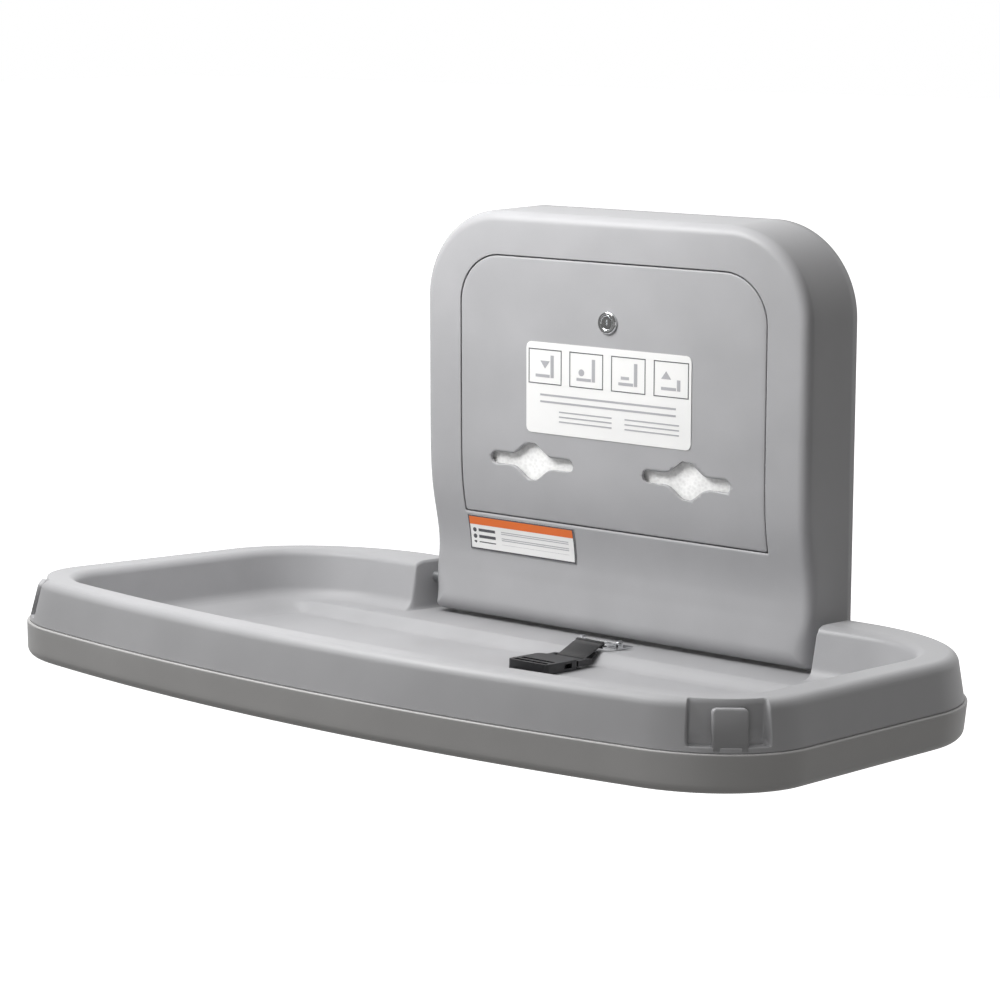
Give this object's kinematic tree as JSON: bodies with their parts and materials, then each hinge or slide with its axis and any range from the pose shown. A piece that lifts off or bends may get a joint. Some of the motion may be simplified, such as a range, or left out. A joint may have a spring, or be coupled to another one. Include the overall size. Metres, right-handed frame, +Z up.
{
  "type": "baby changing station",
  "caption": "Wall-mounted fold-down baby changing station, shown open: dished plastic bed with safety strap, wall housing with liner door.",
  "frame": {"origin": "on the wall plane, on the unit's centre line, level with the bed's hinge axis", "axes": "+X right along the bed, +Y into the wall, +Z up"},
  "size_m": [0.894, 0.5684, 0.4641],
  "materials": {
    "plastic": "fine moulded texture, satin",
    "plastic_lower": "fine moulded texture, satin",
    "steel": "zinc plated",
    "chrome": "polished",
    "bronze": "sintered bronze",
    "webbing": "woven nylon webbing",
    "buckle_plastic": "moulded nylon",
    "paper": "embossed tissue",
    "label": "printed vinyl",
    "black_paint": "black enamel"
  },
  "bodies": {
    "wall_unit": {"wall_housing": "plastic", "back_plate": "steel", "housing_screw_left": "steel", "housing_screw_right": "steel", "bearing_bracket_left": "steel", "bearing_bracket_right": "steel", "hinge_bush_left": "bronze", "hinge_bush_right": "bronze", "bracket_bolt_low_left": "steel", "bracket_bolt_low_right": "steel", "bracket_bolt_high_left": "steel", "bracket_bolt_high_right": "steel", "spring_cylinder": "black_paint", "spring_bracket": "steel", "spring_pin": "steel", "liner_compartment": "steel", "liner_divider": "steel", "liner_stack_left": "paper", "liner_stack_right": "paper", "door_hinge_rod": "steel", "door_hinge_lug_left": "steel", "door_hinge_lug_right": "steel", "lock_catch": "steel", "safety_label": "label"},
    "bed": {"bed_upper_shell": "plastic", "bed_lower_shell": "plastic_lower", "hinge_pin_left": "steel", "hinge_pin_right": "steel", "hinge_socket_left": "steel", "hinge_socket_right": "steel", "bed_rail_left": "steel", "bed_rail_right": "steel", "shell_screw_1": "steel", "shell_screw_2": "steel", "shell_screw_3": "steel", "shell_screw_4": "steel", "shell_screw_5": "steel", "shell_screw_6": "steel", "strap_anchor_rear": "chrome", "strap_anchor_front": "buckle_plastic", "strap_front": "webbing", "anchor_screw_rear_left": "steel", "anchor_screw_rear_right": "steel", "anchor_screw_front_left": "steel", "anchor_screw_front_right": "steel", "crank_arm": "steel"},
    "door": {"liner_door": "plastic", "lock_barrel": "chrome", "lock_nut": "steel", "instruction_label": "label"},
    "lock": {"lock_plug": "chrome", "lock_cam": "steel"},
    "strap": {"strap_ring": "chrome", "strap_rear": "webbing", "buckle_tongue": "buckle_plastic"},
    "buckle": {"buckle_body": "buckle_plastic"},
    "piston": {"piston_rod": "chrome"}
  },
  "joints": [
    {"name": "bed_fold", "type": "hinge", "parent": "wall_unit", "child": "bed", "pos_m": [0, -0.055, 0], "axis": [-1, 0, 0], "range_deg": [0, 85.5]},
    {"name": "door_open", "type": "hinge", "parent": "wall_unit", "child": "door", "pos_m": [0, -0.076, 0.0895], "axis": [-1, 0, 0], "range_deg": [-90, 0]},
    {"name": "lock_turn", "type": "hinge", "parent": "door", "child": "lock", "pos_m": [0, -0.088, 0.2966], "axis": [0, -1, 0], "range_deg": [0, 90]},
    {"name": "ring_swing", "type": "hinge", "parent": "bed", "child": "strap", "pos_m": [0.014, -0.11502, -0.02336], "axis": [1, 0, 0], "range_deg": [-25, 0]},
    {"name": "buckle_slide", "type": "slide", "parent": "strap", "child": "buckle", "axis": [0, -0.9969, 0.0785], "range_m": [0, 0.03]},
    {"name": "piston_slide", "type": "slide", "parent": "wall_unit", "child": "piston", "axis": [0, 0, 1], "range_m": [-0.0205, 0]}
  ],
  "couplings": [
    {"joint": "piston_slide", "follows": "bed_fold", "m_per_rad": -0.013647}
  ]
}
